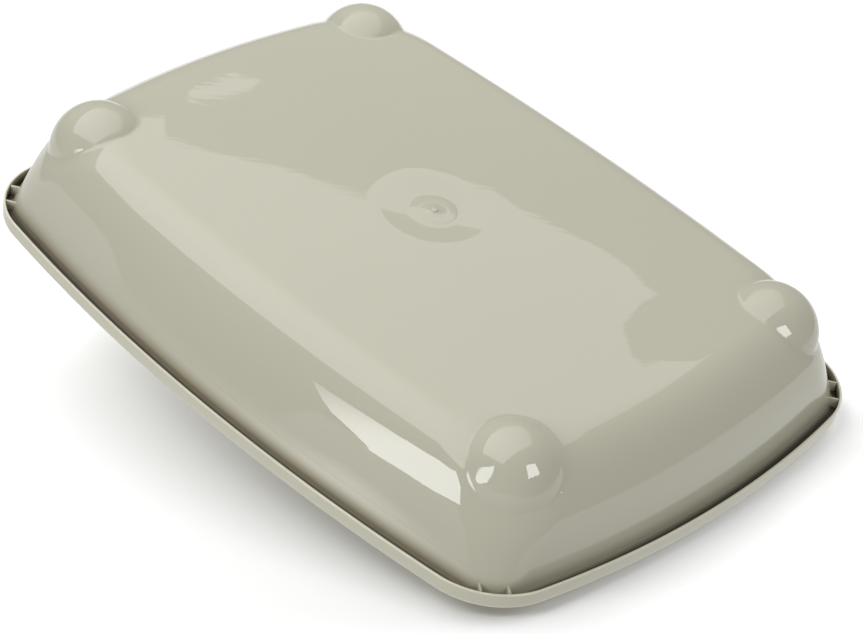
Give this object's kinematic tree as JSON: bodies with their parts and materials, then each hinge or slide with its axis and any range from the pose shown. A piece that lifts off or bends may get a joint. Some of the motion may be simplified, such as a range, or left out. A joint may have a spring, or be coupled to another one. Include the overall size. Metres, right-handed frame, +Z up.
{
  "type": "litter tray",
  "caption": "Shallow plastic litter tray: a bowed rounded pan on domed feet, with a lift-off rim that has a flat flange and a short down-turned skirt.",
  "frame": {"origin": "on the surface that the tray stands on, under the middle of its bounding box", "axes": "+X along the tray, +Y across it, +Z up out of its mouth"},
  "size_m": [0.4998, 0.3738, 0.0832],
  "materials": {
    "pan_plastic": "glossy warm grey-beige moulded polypropylene",
    "rim_plastic": "warm grey-beige moulded polypropylene, a little less glossy on the skirt"
  },
  "bodies": {
    "pan": {"pan": "pan_plastic"},
    "rim": {"rim": "rim_plastic"}
  },
  "joints": [
    {"name": "rim_lift", "type": "slide", "parent": "pan", "child": "rim", "axis": [0, 0, 1], "range_m": [0, 0.06]}
  ]
}
